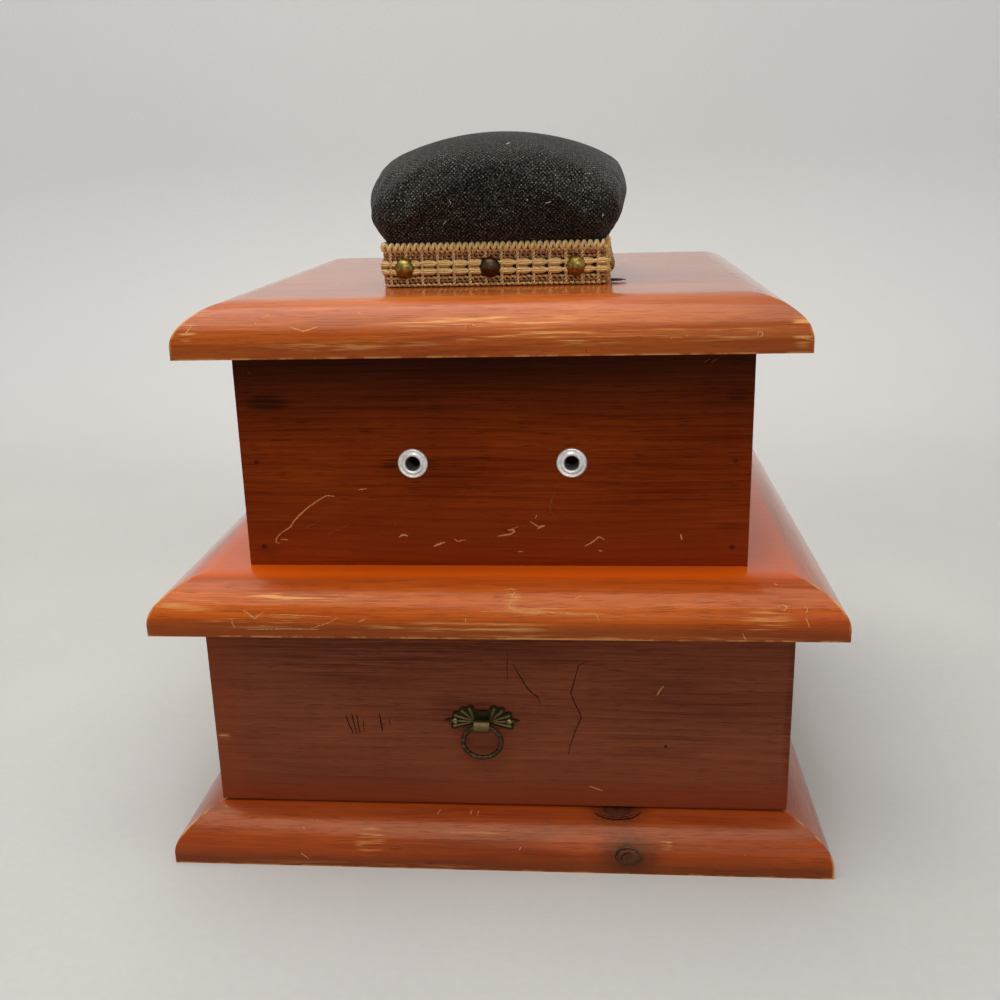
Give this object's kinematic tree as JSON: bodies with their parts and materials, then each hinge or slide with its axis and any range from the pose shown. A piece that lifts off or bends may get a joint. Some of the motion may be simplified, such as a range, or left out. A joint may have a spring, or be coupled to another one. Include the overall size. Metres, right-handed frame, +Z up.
{
  "type": "embroidery thread drawer box",
  "caption": "Two-tier stained wood sewing box: a drawer with a ring pull below, a hinged-lid spool case with thread eyelets above, and a pincushion on the lid.",
  "frame": {"origin": "middle of the footprint on the table", "axes": "+X right, -Y front with the drawer, +Z up"},
  "size_m": [0.2032, 0.1906, 0.2185],
  "materials": {
    "stained_wood": "mahogany stain under gloss lacquer, worn at the edges",
    "bare_wood": "bare pine, matt",
    "peg_wood": "bare birch dowel, smooth",
    "eyelet_metal": "satin white metal",
    "pull_brass": "antiqued stamped brass",
    "hinge_brass": "dull brass",
    "screw_steel": "dull steel",
    "brad_steel": "darkened heads",
    "pad_fabric": "charcoal plain-woven cloth",
    "gimp_braid": "gold gimp braid",
    "tack_brass": "antiqued domed heads"
  },
  "bodies": {
    "case": {"base_plate": "stained_wood", "lower_left_side": "stained_wood", "lower_right_side": "stained_wood", "lower_back": "stained_wood", "shelf_plate": "stained_wood", "upper_front": "stained_wood", "upper_left_side": "stained_wood", "upper_right_side": "stained_wood", "upper_back": "stained_wood", "base_screws": "screw_steel", "upper_front_brads": "brad_steel", "eyelet_front_left": "eyelet_metal", "spool_peg_front_left": "peg_wood", "eyelet_front_right": "eyelet_metal", "spool_peg_front_right": "peg_wood", "eyelet_left_front": "eyelet_metal", "spool_peg_left_front": "peg_wood", "eyelet_left_back": "eyelet_metal", "spool_peg_left_back": "peg_wood", "eyelet_right_front": "eyelet_metal", "spool_peg_right_front": "peg_wood", "eyelet_right_back": "eyelet_metal", "spool_peg_right_back": "peg_wood", "hinge_left_case_leaf": "hinge_brass", "hinge_left_pin": "hinge_brass", "hinge_right_case_leaf": "hinge_brass", "hinge_right_pin": "hinge_brass", "hinge_case_screws": "hinge_brass"},
    "drawer": {"drawer_front": "stained_wood", "drawer_left_side": "bare_wood", "drawer_right_side": "bare_wood", "drawer_back": "bare_wood", "drawer_bottom": "bare_wood", "pull_backplate": "pull_brass", "pull_nails": "pull_brass"},
    "pull_ring": {"pull_ring": "pull_brass"},
    "lid": {"lid": "stained_wood", "pincushion_block": "bare_wood", "pincushion_pad": "pad_fabric", "pincushion_braid": "gimp_braid", "pincushion_tacks": "tack_brass", "hinge_left_lid_leaf": "hinge_brass", "hinge_right_lid_leaf": "hinge_brass", "hinge_lid_screws": "hinge_brass"}
  },
  "joints": [
    {"name": "drawer_slide", "type": "slide", "parent": "case", "child": "drawer", "axis": [0, -1, 0], "range_m": [0, 0.12]},
    {"name": "ring_swing", "type": "hinge", "parent": "drawer", "child": "pull_ring", "pos_m": [-0.0044, -0.08495, 0.044], "axis": [-1, 0, 0], "range_deg": [-6, 150]},
    {"name": "lid_hinge", "type": "hinge", "parent": "case", "child": "lid", "pos_m": [0, 0.0767, 0.1557], "axis": [-1, 0, 0], "range_deg": [0, 100]}
  ]
}
